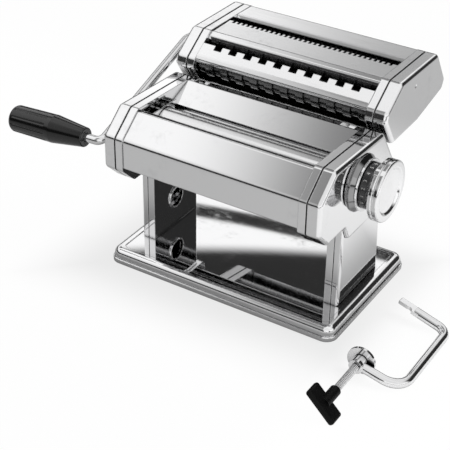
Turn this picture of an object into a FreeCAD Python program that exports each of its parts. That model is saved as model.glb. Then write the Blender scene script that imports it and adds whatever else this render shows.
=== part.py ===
import FreeCAD, Part
import math
import os

os.makedirs("parts", exist_ok=True)

# Axes: X to the right (knob side), Y to the back, Z up. The origin is on the table under the base centre.

# Base tray
base_width = 203.0
base_depth = 126.0
base_corner = 9.5
base_top = 12.4
base_lip_bottom = 1.0
base_lip_top = 4.6
base_ledge = 1.4
base_shoulder = 5.0
base_dish_inset = 9.0
base_dish_depth = 0.5
base_sheet = 1.0
foot_radius = 6.0
foot_inset = 20.0

# Side frames and covers, shared by the body and the cutter
roller_bay = 150.0
frame_plate = 2.5
frame_seam = 6.0
frame_rim = 1.5
seam_gap = 1.2
cover_depth = 10.4
cover_wall = 1.2
cover_edge = 3.5
collar_wall = 1.0
collar_reach = 2.3
fit_gap = 0.1
outline_round = 5.0
stub_lip = 1.0
over = 1.0

# Side outline (Y, Z) of the body, from the front bottom corner round to the back; Z is from its underside
body_floor = 71.0
body_side = [(-75.5, 27.0), (-75.5, 53.0), (-54.0, 70.5), (20.5, 67.0), (42.0, 35.0), (37.0, 0.0),
             (-28.0, 0.0), (-34.5, 13.0), (-61.0, 13.0)]

# Legs
leg_front = -32.0
leg_back = 28.5
leg_sheet = 1.5
leg_flange = 5.7
leg_reach = 24.0
leg_flange_reach = 15.0
leg_cover_depth = 5.8
leg_cover_wall = 1.0
leg_cover_round = 2.5
leg_cover_flare = 4.5
leg_cover_reach = 16.0
leg_clear = 1.0
clamp_hole_radius = 8.5
clamp_hole_y = -2.0
clamp_hole_z = 38.0
clamp_rim_wall = 1.4
clamp_rim_reach = 1.2

# Sheet parts of the body, with Z from its underside
sheet = 0.8
front_path = [(-70.5, 28.6), (-74.6, 28.6), (-74.6, 52.5), (-54.6, 68.6), (-49.0, 67.8), (-48.2, 65.4)]
front_bends = [0.9, 5.0, 2.0, 1.2]
hopper_path = [(-10.6, 57.5), (13.0, 66.6), (19.5, 66.2)]
hopper_bends = [4.0]
back_recess = 6.5
back_top = -2.0
guide_x = 69.4
guide_sheet = 1.0
guide_outline = [(-46.0, 55.0), (-46.0, 63.2), (-11.5, 62.2), (-14.5, 55.0)]
guide_lug = [(-17.0, 60.0), (-17.0, 62.0), (-12.5, 61.9), (-13.3, 60.0)]
guide_round = 1.5
tie_rods = [(-62.0, 41.0), (-46.0, 26.0), (24.0, 30.0)]
tie_radius = 3.0
nut_radius = 4.4
nut_depth = 3.0
nut_sides = 6

# Main rollers
roller_radius = 13.0
driven_y = -27.0
driven_rise = 48.2
middle_gap = 1.66
roller_dip = 10.4
axle_offset = 1.0
journal_radius = 5.0
axle_end_radius = 6.0
axle_core_radius = 4.5
sleeve_radius = 7.0
sleeve_length = 14.0
bush_wall = 2.0
run_fit = 0.05
roller_right = 73.8
roller_left = -70.8
gear_width = 3.5
gear_teeth = 12
gear_addendum = 1.2
gear_dedendum = 2.7
gear_tooth_root = 3.4
gear_tooth_tip = 1.5
scraper_gap = 0.5
scraper_length = 12.0
scraper_lean = 20.0

# Thickness adjuster
knob_ahead = 14.2
knob_drop = 0.7
spindle_radius = 4.0
spindle_pivot = 3.0
pinion_teeth = 13
pinion_addendum = 0.7
pinion_dedendum = 1.2
pinion_tooth_root = 1.9
pinion_tooth_tip = 0.8
pinion_width = 4.0
boss_base = 22.0
boss_top = 19.0
boss_height = 4.6
ring_radius = 20.0
ring_height = 1.6
dial_radius = 17.6
dial_length = 5.6
dial_web = 2.2
knob_radius = 23.5
knob_length = 11.5
knob_flare = 4.2
knob_rim_length = 4.4
knob_rim_width = 5.3
knob_rim_share = 0.42
knob_crease = 0.8
knob_lip_depth = 1.6
knob_lip_width = 1.8
knob_dish_radius = 7.0
knob_dish_depth = 2.6
knob_cavity = 9.0
knob_skin = 1.4
scallop_count = 2
scallop_radius = 9.0
scallop_reach = 28.5
scallop_phase = 0.63
spring_wire = 1.2
spring_radius = 6.0
spring_pitch = 2.2
collar_radius = 7.0
collar_height = 1.5
pin_radius = 1.5
pin_circle = 13.0
pin_reach = 2.6
pin_gap = 0.5
step_gap = 0.4

# Crank
crank_radius = 3.5
crank_plane = -100.0
crank_arm = 129.5
crank_dip = 19.0
crank_bend = 8.8
elbow_bend = 5.5
crank_fit = 0.1
socket_depth = 12.0
grip_start = -114.5
grip_length = 70.0
grip_radius = 11.2
grip_neck = 7.6
grip_round = 4.0
grip_neck_round = 1.0
grip_wall = 2.0
grip_tilt = 3.0
grip_taper = 0.42
grip_draft = 0.5
grip_flutes = 10
flute_radius = 1.6
flute_depth = 0.96
washer_radius = 5.5
washer_depth = 1.5
socket_gap = 1.0

# Cutter rollers
cutter_length = 147.6
cutter_spacing = 20.6
cutter_bite = 0.8
groove_gap = 0.6
cutter_behind = 15.5
cutter_above = 7.5
wide_lean = 26.2
pair_gap = 0.4
pair_dip = 23.3
wide_count = 11
fine_count = 34
side_play = 0.3
big_journal = 6.0
small_journal = 4.0
cutter_gear_teeth = 20
cutter_addendum = 0.9
cutter_dedendum = 1.4
cutter_tooth_root = 1.7
cutter_tooth_tip = 0.55
cutter_gear_width = 3.5
comb_sheet = 1.6
comb_reach = 18.0
comb_gap = 0.4

# Cutter side outline and sheets, measured from the front wide roller; the top ones have Z from the top sheet
cutter_front_side = [(-16.0, -0.5), (-13.5, 6.5)]
cutter_top_side = [(9.0, 1.2), (72.0, 0.2)]
cutter_low_side = [(90.0, -6.5), (86.0, -15.0), (42.0, -24.0), (0.0, -25.0)]
top_gap = 0.2
cutter_back_foot = (87.2, -11.0)
cutter_back_top = [(71.2, -1.0), (50.0, -0.4), (48.9, -2.7)]
cutter_back_bends = [3.0, 0.9]
cutter_mid_top = [(37.0, -0.1), (11.5, 0.0), (7.4, -1.7), (6.2, -4.7)]
cutter_mid_bends = [3.0, 2.0]
cutter_front_sheet = [(-1.0, 15.5), (-10.4, 9.1), (-13.1, 5.7), (-11.4, 3.3)]
cutter_front_bends = [4.0, 1.4]
notch_depth = 3.4
front_notch_depth = 4.2
notch_half_height = 3.0
cutter_tie_places = [(76.0, 2.5), (64.0, -14.5), (24.0, -16.5)]
cover_dimple = (32.3, 10.3)
dimple_radius = 1.7
dimple_depth = 0.6

# Slide rails between body and cutter, along the slope at the back of the body
rail_x = 64.0
rail_half = 6.0
rail_wall = 1.4
rail_lip = 2.0
rail_floor = 1.0
rail_top = -0.5
rail_run = (-36.0, -6.0)
tongue_gap = 0.5
tongue_run = (-33.0, -8.0)
mount_gap = 2.4
mount_sheet = 1.2
mount_run = (-21.0, -8.0)

# Table clamp, lying on the table
clamp_x = 133.6
screw_z = 11.4
clamp_rod = 3.7
spine_x = 168.1
eye_y = -83.6
top_arm_y = -4.6
tip_y = -0.6
tip_reach = -8.0
clamp_bend_low = 15.0
clamp_bend_top = 9.0
eye_radius = 5.6
eye_depth = 7.6
blade_length = 15.0
blade_height = 3.0
hook_step = 2.2
hook_notch = 2.8
hook_notch_at = 10.0
screw_radius = 2.9
pad_radius = 10.9
pad_sheet = 2.2
pad_gap = 0.6
screw_length = 46.55
hub_radius = 4.2
hub_length = 17.0
wing_length = 29.0
wing_width = 13.4
wing_sheet = 5.0
wing_tilt = 45.0
wing_round = 2.0


def moved(points, y, z):
    """The (Y, Z) points moved by y and z."""
    return [(point[0] + y, point[1] + z) for point in points]


def polar(centre, reach, degrees):
    """(Y, Z) of the point at a distance and an angle from a centre."""
    angle = math.radians(degrees)
    return (centre[0] + reach * math.cos(angle), centre[1] + reach * math.sin(angle))


# Places worked out from the sizes above
bay = roller_bay / 2
plate_out = bay + frame_plate
seam = bay + frame_seam
cover_in = seam + seam_gap
cover_out = cover_in + cover_depth
dish_top = base_top - base_dish_depth
body_outline = moved(body_side, 0, body_floor)
driven_z = body_floor + driven_rise
axle_y, axle_z = polar((driven_y, driven_z), 2 * roller_radius + middle_gap, -roller_dip)
knob_y = round(axle_y - knob_ahead, 1)
knob_z = round(axle_z - knob_drop, 1)
cutter_radius = (cutter_spacing + cutter_bite) / 2
groove_radius = cutter_spacing - cutter_radius - groove_gap
wide_front = (body_outline[3][0] + cutter_behind, body_outline[3][1] + cutter_above)
wide_back = polar(wide_front, cutter_spacing, wide_lean)
fine_front = polar(wide_back, 2 * cutter_radius + pair_gap, -pair_dip)
fine_back = (fine_front[0] + cutter_spacing, fine_front[1])
cutter_top = wide_back[1] + cutter_radius + top_gap + sheet
cutter_outline = moved(cutter_front_side, *wide_front)
cutter_outline += moved(cutter_top_side, wide_front[0], cutter_top)
cutter_outline += moved(cutter_low_side, *wide_front)
cutter_ties = moved(cutter_tie_places, *wide_front)
body_ties = moved(tie_rods, 0, body_floor)
crank_end_y, crank_end_z = polar(wide_back, crank_arm, 180 + crank_dip)
leg_top = body_floor + leg_reach
leg_flange_top = body_floor + leg_flange_reach
leg_cover_top = body_floor + leg_cover_reach
leg_in = plate_out
leg_seam = leg_in + leg_flange
leg_cover_in = leg_seam + seam_gap / 2
leg_cover_out = leg_cover_in + leg_cover_depth
X_AXIS = FreeCAD.Vector(1, 0, 0)
Y_AXIS = FreeCAD.Vector(0, 1, 0)
HERE = FreeCAD.Vector(0, 0, 0)
parts = {}


def vec(x, y, z):
    return FreeCAD.Vector(x, y, z)


def corner_arc(back, here, ahead, radius):
    """Start, middle and end of the arc that rounds the corner at `here`."""
    to_back = (back - here).normalize()
    to_ahead = (ahead - here).normalize()
    half = to_back.getAngle(to_ahead) / 2
    if radius <= 0 or half > math.radians(89.9):
        return here, here, here
    reach = radius / math.tan(half)
    inward = (to_back + to_ahead).normalize()
    middle = here + inward * (radius / math.sin(half) - radius)
    return here + to_back * reach, middle, here + to_ahead * reach


def rounded_edges(points, radii, closed):
    """Straight edges and corner arcs through the points; open chains keep their end points sharp."""
    count = len(points)
    corners = []
    for i in range(count):
        at_end = not closed and i in (0, count - 1)
        radius = 0 if at_end else radii[i]
        corners.append(corner_arc(points[i - 1], points[i], points[(i + 1) % count], radius))
    edges = []
    for i in range(count):
        start, middle, end = corners[i]
        if (end - start).Length > 1e-6:
            edges.append(Part.Arc(start, middle, end).toShape())
        if closed or i < count - 1:
            edges.append(Part.makeLine(end, corners[(i + 1) % count][0]))
    return edges


def prism(outline, radii, x0, x1):
    """Solid from x0 to x1 with the given (Y, Z) outline; radii is one number or one per corner."""
    if not isinstance(radii, list):
        radii = [radii] * len(outline)
    points = [vec(x0, y, z) for y, z in outline]
    wire = Part.Wire(rounded_edges(points, radii, True))
    return Part.Face(wire).extrude(vec(x1 - x0, 0, 0))


def offset_side(a, b, distance):
    """The line a-b moved to its right-hand side by the distance."""
    length = math.hypot(b[0] - a[0], b[1] - a[1])
    shift = (distance * (b[1] - a[1]) / length, -distance * (b[0] - a[0]) / length)
    return (a[0] + shift[0], a[1] + shift[1]), (b[0] + shift[0], b[1] + shift[1])


def meet(first, second):
    """Where two lines, each given by two points, cross."""
    (x1, y1), (x2, y2) = first
    (x3, y3), (x4, y4) = second
    cross = (x2 - x1) * (y4 - y3) - (y2 - y1) * (x4 - x3)
    t = ((x3 - x1) * (y4 - y3) - (y3 - y1) * (x4 - x3)) / cross
    return (x1 + t * (x2 - x1), y1 + t * (y2 - y1))


def inset(outline, distance):
    """The outline moved inwards; outlines here run clockwise seen from the knob side."""
    count = len(outline)
    sides = [offset_side(outline[i], outline[(i + 1) % count], distance) for i in range(count)]
    return [meet(sides[i - 1], sides[i]) for i in range(count)]


def bent_sheet(path, bends, thickness, half_width):
    """Folded sheet across the bay; the path is its outer face and the thickness goes to its right."""
    count = len(path)
    sides = [offset_side(path[i], path[i + 1], thickness) for i in range(count - 1)]
    inner = [sides[0][0]]
    outer_radii = [0]
    inner_radii = [0]
    for i in range(1, count - 1):
        inner.append(meet(sides[i - 1], sides[i]))
        before = (path[i][0] - path[i - 1][0], path[i][1] - path[i - 1][1])
        after = (path[i + 1][0] - path[i][0], path[i + 1][1] - path[i][1])
        turns_right = before[0] * after[1] - before[1] * after[0] < 0
        outer_radii.append(bends[i - 1] + (thickness if turns_right else 0))
        inner_radii.append(bends[i - 1] + (0 if turns_right else thickness))
    inner.append(sides[-1][1])
    outer_radii.append(0)
    inner_radii.append(0)
    return prism(path + inner[::-1], outer_radii + inner_radii[::-1], -half_width, half_width)


def rod(x0, x1, y, z, radius):
    return Part.makeCylinder(radius, x1 - x0, vec(x0, y, z), X_AXIS)


def tube(x0, x1, y, z, radius, bore):
    return rod(x0, x1, y, z, radius).cut(rod(x0 - over, x1 + over, y, z, bore))


def box(x0, x1, y0, y1, z0, z1):
    return Part.makeBox(x1 - x0, y1 - y0, z1 - z0, vec(x0, y0, z0))


def mirrored(shape):
    return shape.mirror(HERE, X_AXIS)


def fused(shapes):
    return shapes[0].multiFuse(shapes[1:]).removeSplitter() if len(shapes) > 1 else shapes[0]


def turned(profile, y, z):
    """Solid turned about an X line from a closed (X, radius) profile."""
    points = [vec(x, r, 0) for x, r in profile]
    face = Part.Face(Part.makePolygon(points + points[:1]))
    solid = face.revolve(HERE, X_AXIS, 360)
    solid.translate(vec(0, y, z))
    return solid


def edges_at_x(shape, x):
    """Edges that lie wholly in the plane at x."""
    found = []
    for edge in shape.Edges:
        limits = edge.BoundBox
        if abs(limits.XMin - x) < 1e-4 and abs(limits.XMax - x) < 1e-4:
            found.append(edge)
    return found


def domed(outline, radii, x0, x1, edge_radius):
    """Prism whose far face at x1 has rounded edges."""
    solid = prism(outline, radii, x0, x1)
    return solid.makeFillet(edge_radius, edges_at_x(solid, x1))


def gear(teeth, root, tip, root_width, tip_width, x0, x1, phase):
    """Spur gear about the X axis; phase is in tooth pitches."""
    outline = []
    for i in range(teeth):
        angle = 2 * math.pi * (i + phase) / teeth
        for radius, width in ((root, -root_width), (tip, -tip_width), (tip, tip_width), (root, root_width)):
            turn = angle + math.asin(width / 2 / radius)
            outline.append((radius * math.cos(turn), radius * math.sin(turn)))
    return prism(outline, 0, x0, x1)


def bent_rod(points, bends, radius):
    """Round rod along a chain of points with rounded corners."""
    path = Part.Wire(rounded_edges(points, [0] + bends + [0], False))
    along = (points[1] - points[0]).normalize()
    ring = Part.Wire(Part.Circle(points[0], along, radius).toShape())
    return path.makePipeShell([ring], True, True)


def rounded_slab(width, depth, z0, z1, corner):
    slab = box(-width / 2, width / 2, -depth / 2, depth / 2, z0, z1)
    upright = [e for e in slab.Edges if abs(e.BoundBox.ZLength - (z1 - z0)) < 1e-6]
    return slab.makeFillet(corner, upright)


def edges_at_z(shape, z):
    return [e for e in shape.Edges if abs(e.BoundBox.ZMin - z) < 1e-4 and abs(e.BoundBox.ZMax - z) < 1e-4]


def tray_block(shrink, top, bottom, ledge_top):
    """Lip and shoulder of the tray, all faces moved in by `shrink`."""
    width = base_width - 2 * shrink
    depth = base_depth - 2 * shrink
    corner = base_corner - shrink
    lip = rounded_slab(width, depth, bottom, ledge_top, corner)
    step = rounded_slab(width - 2 * base_ledge, depth - 2 * base_ledge, bottom, top, corner - base_ledge)
    step = step.makeFillet(base_shoulder - shrink, edges_at_z(step, top))
    lip = lip.makeFillet(base_ledge / 2, edges_at_z(lip, ledge_top))
    return lip.fuse(step)


# Base tray and feet
tray = tray_block(0, base_top, base_lip_bottom, base_lip_top)
inside = tray_block(base_sheet, dish_top - base_sheet, base_lip_bottom - over, base_lip_top - base_sheet)
tray = tray.cut(inside)
dish_width = base_width - 2 * base_dish_inset
dish_depth = base_depth - 2 * base_dish_inset
dish_corner = base_corner - base_ledge - base_shoulder
dish = rounded_slab(dish_width, dish_depth, dish_top, base_top + over, dish_corner)
parts["base_plate"] = tray.cut(dish).removeSplitter()
foot_x = base_width / 2 - foot_inset
foot_y = base_depth / 2 - foot_inset
foot_height = dish_top - base_sheet
feet = []
for x, y in ((0, 0), (-foot_x, -foot_y), (-foot_x, foot_y), (foot_x, -foot_y), (foot_x, foot_y)):
    feet.append(Part.makeCylinder(foot_radius, foot_height, vec(x, y, 0)))
parts["base_feet"] = Part.makeCompound(feet)

# Legs: an outward channel with a rolled clamp hole, closed by a pressed cover
web = box(leg_in, leg_in + leg_sheet, leg_front, leg_back, dish_top, leg_top)
front_flange = box(leg_in, leg_seam, leg_front, leg_front + leg_sheet, dish_top, leg_flange_top)
back_flange = box(leg_in, leg_seam, leg_back - leg_sheet, leg_back, dish_top, leg_flange_top)
foot_tab = box(leg_in, leg_seam, leg_front, leg_back, dish_top, dish_top + leg_sheet)
rim_in = leg_in - clamp_rim_reach
hole_rim = rod(rim_in, leg_in, clamp_hole_y, clamp_hole_z, clamp_hole_radius + clamp_rim_wall)
hole_rim = hole_rim.makeFillet(clamp_rim_wall / 2, edges_at_x(hole_rim, rim_in))
leg = fused([web, front_flange, back_flange, foot_tab, hole_rim])
hole_cut = rod(rim_in - over, leg_seam, clamp_hole_y, clamp_hole_z, clamp_hole_radius)
parts["right_leg"] = leg.cut(hole_cut)
leg_outline = [(leg_front, dish_top), (leg_front, leg_cover_top), (leg_back, leg_cover_top),
               (leg_back + leg_cover_flare, dish_top)]
leg_shell = domed(leg_outline, 0, leg_cover_in, leg_cover_out, leg_cover_round)
leg_core = inset(leg_outline, leg_cover_wall)
leg_inner_round = leg_cover_round - leg_cover_wall
leg_hollow = domed(leg_core, 0, leg_cover_in - over, leg_cover_out - leg_cover_wall, leg_inner_round)
parts["right_leg_cover"] = leg_shell.cut(leg_hollow)

# Side frame (flat plate with a rim) and pressed cover, for body and cutter alike
def side_frame(outline):
    pan = prism(outline, outline_round, bay, seam)
    well = prism(inset(outline, frame_rim), outline_round - frame_rim, plate_out, seam + over)
    return pan.cut(well)


def side_cover(outline):
    shell = domed(outline, outline_round, cover_in, cover_out, cover_edge)
    core_round = outline_round - cover_wall
    core = inset(outline, cover_wall)
    hollow = domed(core, core_round, cover_in - over, cover_out - cover_wall, cover_edge - cover_wall)
    collar_outer = frame_rim + fit_gap
    collar_inner = collar_outer + collar_wall
    collar_in = cover_in - collar_reach
    collar_out = cover_in + collar_wall
    collar = prism(inset(outline, collar_outer), outline_round - collar_outer, collar_in, collar_out)
    ring = prism(outline, outline_round, cover_in, collar_out)
    opening = inset(outline, collar_inner)
    bore = prism(opening, outline_round - collar_inner, collar_in - over, collar_out + over)
    return shell.cut(hollow).fuse(collar.fuse(ring).cut(bore)).removeSplitter()


slot_bottom = body_outline[5][1] - over
slot_top = leg_cover_top + leg_clear
leg_slot = box(plate_out, leg_cover_out + step_gap, leg_front - leg_clear, leg_back + leg_clear,
               slot_bottom, slot_top)
body_frame = side_frame(body_outline).cut(leg_slot)
body_cover = side_cover(body_outline).cut(leg_slot)
cutter_frame = side_frame(cutter_outline)
cutter_cover = side_cover(cutter_outline)
dimple_ball = (dimple_radius ** 2 + dimple_depth ** 2) / (2 * dimple_depth)
dimple_y, dimple_z = moved([cover_dimple], *wide_front)[0]
dimple_at = vec(cover_out - dimple_depth + dimple_ball, dimple_y, dimple_z)
cutter_cover = cutter_cover.cut(Part.makeSphere(dimple_ball, dimple_at))

bush_radius = journal_radius + run_fit + bush_wall
bearing_radius = axle_end_radius + run_fit + bush_wall
frame_holes = [(driven_y, driven_z, bush_radius), (axle_y, axle_z, bearing_radius)]
frame_holes += [(y, z, tie_radius) for y, z in body_ties]
for hole_y, hole_z, hole_radius in frame_holes:
    body_frame = body_frame.cut(rod(bay - over, plate_out + over, hole_y, hole_z, hole_radius))
parts["left_frame"] = mirrored(body_frame)
pivot_hole = rod(bay - over, plate_out + over, knob_y, knob_z, spindle_pivot + run_fit)
parts["right_frame"] = body_frame.cut(pivot_hole)
spindle_hole = rod(cover_in, cover_out + over, knob_y, knob_z, spindle_radius + step_gap)
parts["right_cover"] = body_cover.cut(spindle_hole)
crank_bore = crank_radius + crank_fit
bush_out = crank_bore + bush_wall
left_cover = body_cover.cut(rod(cover_in, cover_out + over, driven_y, driven_z, bush_out))
parts["left_cover"] = mirrored(left_cover)
parts["left_leg"] = mirrored(parts["right_leg"])
parts["left_leg_cover"] = mirrored(parts["right_leg_cover"])
crank_bush = tube(cover_out - cover_wall, cover_out + stub_lip, driven_y, driven_z, bush_out, crank_bore)
parts["crank_bush"] = mirrored(crank_bush)

# Sheets between the frames
parts["front_plate"] = bent_sheet(moved(front_path, 0, body_floor), front_bends, sheet, bay)
parts["hopper_plate"] = bent_sheet(moved(hopper_path, 0, body_floor), hopper_bends, sheet, bay)
slope_top = body_outline[3]
slope_foot = body_outline[4]
slope_length = math.hypot(slope_foot[0] - slope_top[0], slope_foot[1] - slope_top[1])
slope_up = vec(0, slope_top[0] - slope_foot[0], slope_top[1] - slope_foot[1]) * (1 / slope_length)
slope_out = vec(0, slope_up.z, -slope_up.y)
slope_at = vec(0, slope_top[0], slope_top[1])


def on_slope(along, out):
    """(Y, Z) of a point measured from the top of the back slope, along it and out from it."""
    point = slope_at + slope_up * along + slope_out * out
    return (point.y, point.z)


def slope_prism(outline, run):
    """Solid along the back slope with an (X, out) outline."""
    points = [vec(x, 0, 0) + slope_at + slope_out * out + slope_up * run[0] for x, out in outline]
    face = Part.Face(Part.makePolygon(points + points[:1]))
    return face.extrude(slope_up * (run[1] - run[0]))


back_low = (body_outline[5][0] - back_recess, body_outline[5][1] + outline_round)
back_path = [on_slope(back_top, -back_recess), on_slope(-slope_length, -back_recess), back_low]
parts["back_plate"] = bent_sheet(back_path, [outline_round], sheet, bay)


# Dough guides stand over the roller ends, each on a lug from its frame
def guide(x_inner):
    blade = prism(moved(guide_outline, 0, body_floor), [0, guide_round, 0, 0], x_inner, x_inner + guide_sheet)
    lug = prism(moved(guide_lug, 0, body_floor), 0, x_inner, bay)
    reach = roller_radius + scraper_gap
    for y, z, play in ((driven_y, driven_z, 0), (axle_y, axle_z, axle_offset)):
        blade = blade.cut(rod(x_inner - over, x_inner + guide_sheet + over, y, z, reach + play))
    return blade.fuse(lug).removeSplitter()


right_guide = guide(guide_x)
parts["dough_guides"] = Part.makeCompound([mirrored(right_guide), right_guide])

# Tie rods and their nuts
ties = [rod(-plate_out, plate_out, y, z, tie_radius) for y, z in body_ties]
parts["tie_rods"] = Part.makeCompound(ties)
nuts = []
for y, z in body_ties:
    turns = [-2 * math.pi * i / nut_sides for i in range(nut_sides)]
    hexagon = [(y + nut_radius * math.cos(turn), z + nut_radius * math.sin(turn)) for turn in turns]
    nut = prism(hexagon, 0, plate_out, plate_out + nut_depth)
    nuts += [nut, mirrored(nut)]
parts["tie_nuts"] = Part.makeCompound(nuts)

# Driven roller: front, fixed in its bushes, with the crank socket in its left journal
journal_left = -(cover_out - cover_wall - step_gap)
driven = fused([rod(roller_left, roller_right, driven_y, driven_z, roller_radius),
                rod(journal_left, plate_out + bush_wall, driven_y, driven_z, journal_radius)])
socket = rod(journal_left - over, journal_left + socket_depth, driven_y, driven_z, crank_bore)
parts["driven_roller"] = driven.cut(socket)
gear_right = roller_left - step_gap / 2
gear_left = gear_right - gear_width
gear_pitch = math.hypot(axle_y - driven_y, axle_z - driven_z) / 2
gear_root = gear_pitch - gear_dedendum
gear_tip = gear_pitch + gear_addendum
main_gear = gear(gear_teeth, gear_root, gear_tip, gear_tooth_root, gear_tooth_tip, gear_left, gear_right, 0)
mate_gear = gear(gear_teeth, gear_root, gear_tip, gear_tooth_root, gear_tooth_tip, gear_left, gear_right, 0.5)
lean_angle = math.degrees(math.atan2(axle_z - driven_z, axle_y - driven_y))
for wheel in (main_gear, mate_gear):
    wheel.rotate(HERE, X_AXIS, lean_angle)
main_gear.translate(vec(0, driven_y, driven_z))
gear_bore = rod(gear_left - over, gear_right + over, driven_y, driven_z, journal_radius)
parts["driven_gear"] = main_gear.cut(gear_bore)

# Roller scrapers: blades under each roller, notched where the gears turn
scrapers = []
for y, z, play, turn in ((driven_y, driven_z, 0, -scraper_lean), (axle_y, axle_z, axle_offset, scraper_lean)):
    first = roller_radius + scraper_gap + play
    blade = box(-bay, bay, -sheet / 2, sheet / 2, -first - scraper_length, -first)
    blade.rotate(HERE, X_AXIS, turn)
    blade.translate(vec(0, y, z))
    scrapers.append(blade.cut(rod(-bay - over, gear_right + step_gap, y, z, gear_tip + scraper_gap + play)))
parts["roller_scrapers"] = Part.makeCompound(scrapers)
bush = tube(bay, plate_out, driven_y, driven_z, bush_radius, journal_radius + run_fit)

# Gap roller: a tube on sleeves round the offset core of the eccentric axle
away = vec(0, axle_y - driven_y, axle_z - driven_z).normalize() * axle_offset
gap_y = axle_y + away.y
gap_z = axle_z + away.z
core_end = bay - step_gap
pinion_in = plate_out + frame_seam - step_gap
pinion_out = pinion_in + pinion_width
axle = fused([rod(-core_end, core_end, gap_y, gap_z, axle_core_radius),
              rod(-plate_out - stub_lip, -core_end, axle_y, axle_z, axle_end_radius),
              rod(core_end, plate_out + stub_lip, axle_y, axle_z, axle_end_radius),
              rod(plate_out + stub_lip, pinion_out, axle_y, axle_z, spindle_radius)])
parts["eccentric_axle"] = axle
sleeve_bore = axle_core_radius + run_fit
sleeves = [tube(roller_right - sleeve_length, roller_right, gap_y, gap_z, sleeve_radius, sleeve_bore),
           tube(roller_left, roller_left + sleeve_length, gap_y, gap_z, sleeve_radius, sleeve_bore)]
parts["axle_sleeves"] = Part.makeCompound(sleeves)
parts["gap_roller"] = tube(roller_left, roller_right, gap_y, gap_z, roller_radius, sleeve_radius + run_fit)
mate_gear.translate(vec(0, gap_y, gap_z))
gap_bore = sleeve_radius + run_fit
neck = tube(gear_right, roller_left, gap_y, gap_z, gap_bore + bush_wall, gap_bore)
mate_gear = mate_gear.fuse(neck).cut(rod(gear_left - over, roller_left, gap_y, gap_z, gap_bore))
parts["gap_gear"] = mate_gear.removeSplitter()
bearing = tube(bay, plate_out, axle_y, axle_z, bearing_radius, axle_end_radius + run_fit)
parts["roller_bushes"] = Part.makeCompound([bush, mirrored(bush), bearing, mirrored(bearing)])

# Adjuster: spindle and pinion pair inside the right cover
boss_in = cover_out
boss_out = boss_in + boss_height
ring_out = boss_out + ring_height
dial_in = ring_out + step_gap
dial_out = dial_in + dial_length
knob_out = dial_out + knob_length
collar_in = knob_out - knob_dish_depth - knob_skin - step_gap - collar_height
pinion_pitch = math.hypot(axle_y - knob_y, axle_z - knob_z) / 2
pinion_root = pinion_pitch - pinion_dedendum
pinion_tip = pinion_pitch + pinion_addendum
pinion_lean = math.degrees(math.atan2(axle_z - knob_z, axle_y - knob_y))
spindle = fused([rod(bay, plate_out, knob_y, knob_z, spindle_pivot),
                 rod(plate_out + step_gap, collar_in, knob_y, knob_z, spindle_radius),
                 rod(plate_out, plate_out + step_gap, knob_y, knob_z, spindle_pivot),
                 rod(collar_in, collar_in + collar_height, knob_y, knob_z, collar_radius)])
wheels = []
for y, z, phase in ((knob_y, knob_z, 0), (axle_y, axle_z, 0.5 + 0.5 * pinion_teeth)):
    wheel = gear(pinion_teeth, pinion_root, pinion_tip, pinion_tooth_root, pinion_tooth_tip,
                 pinion_in, pinion_out, phase)
    wheel.rotate(HERE, X_AXIS, pinion_lean)
    wheel.translate(vec(0, y, z))
    wheels.append(wheel)
parts["knob_spindle"] = spindle.fuse(wheels[0]).removeSplitter()
parts["axle_gear"] = wheels[1].cut(rod(pinion_in - over, pinion_out + over, axle_y, axle_z, spindle_radius))

groove_in = boss_out - pin_reach - pin_gap
boss = turned([(boss_in, spindle_radius + run_fit), (boss_in, boss_base), (boss_in + stub_lip, boss_base),
               (boss_out, boss_top), (boss_out, spindle_radius + run_fit)], knob_y, knob_z)
groove = tube(groove_in, boss_out + over, knob_y, knob_z, pin_circle + pin_radius + pin_gap,
              pin_circle - pin_radius - pin_gap)
parts["dial_boss"] = boss.cut(groove)
ring = tube(boss_out, ring_out, knob_y, knob_z, ring_radius, pin_circle + pin_radius + pin_gap)
parts["dial_ring"] = ring.makeFillet(ring_height / 3, edges_at_x(ring, ring_out))

# Knob: dial band with a web on the spindle, and a dished grip with a rolled rim and finger scallops
band = tube(dial_in, dial_out, knob_y, knob_z, dial_radius, knob_cavity)
web_plate = tube(dial_in, dial_in + dial_web, knob_y, knob_z, dial_radius, spindle_radius + run_fit)
pin_hole = rod(dial_in - over, dial_in + dial_web + over, knob_y + pin_circle, knob_z, pin_radius)
parts["dial_band"] = band.fuse(web_plate).removeSplitter().cut(pin_hole)
parts["index_pin"] = rod(boss_out - pin_reach, dial_in + dial_web, knob_y + pin_circle, knob_z, pin_radius)
dish_floor = knob_out - knob_dish_depth
rim_at = knob_out - knob_rim_length
rim_edge = knob_radius - knob_rim_width
grip = turned([(dial_out, 0), (dial_out, dial_radius), (dial_out + knob_flare, knob_radius),
               (rim_at - knob_crease, knob_radius), (rim_at, knob_radius - knob_crease),
               (rim_at + knob_crease, knob_radius), (knob_out, knob_radius), (knob_out, rim_edge),
               (knob_out - knob_lip_depth, rim_edge - knob_lip_width),
               (dish_floor, knob_dish_radius), (dish_floor, 0)], knob_y, knob_z)
rim_round = knob_rim_share * min(knob_rim_width, knob_rim_length - knob_crease)
grip = grip.makeFillet(rim_round, edges_at_x(grip, knob_out))
cavity_end = dish_floor - knob_skin
grip = grip.cut(rod(dial_out - over, cavity_end, knob_y, knob_z, knob_cavity))
for i in range(scallop_count):
    angle = 2 * math.pi * (i + scallop_phase) / scallop_count
    at_y = knob_y + scallop_reach * math.cos(angle)
    at_z = knob_z + scallop_reach * math.sin(angle)
    grip = grip.cut(rod(dial_out - over, rim_at - knob_crease, at_y, at_z, scallop_radius))
parts["knob_grip"] = grip
spring_in = dial_in + dial_web
coil = Part.makeHelix(spring_pitch, collar_in - spring_in - spring_wire, spring_radius)
wire_start = Part.Wire(Part.Circle(vec(spring_radius, 0, 0), Y_AXIS, spring_wire / 2).toShape())
spring = Part.Wire(coil).makePipeShell([wire_start], True, True)
spring.rotate(HERE, Y_AXIS, 90)
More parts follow.
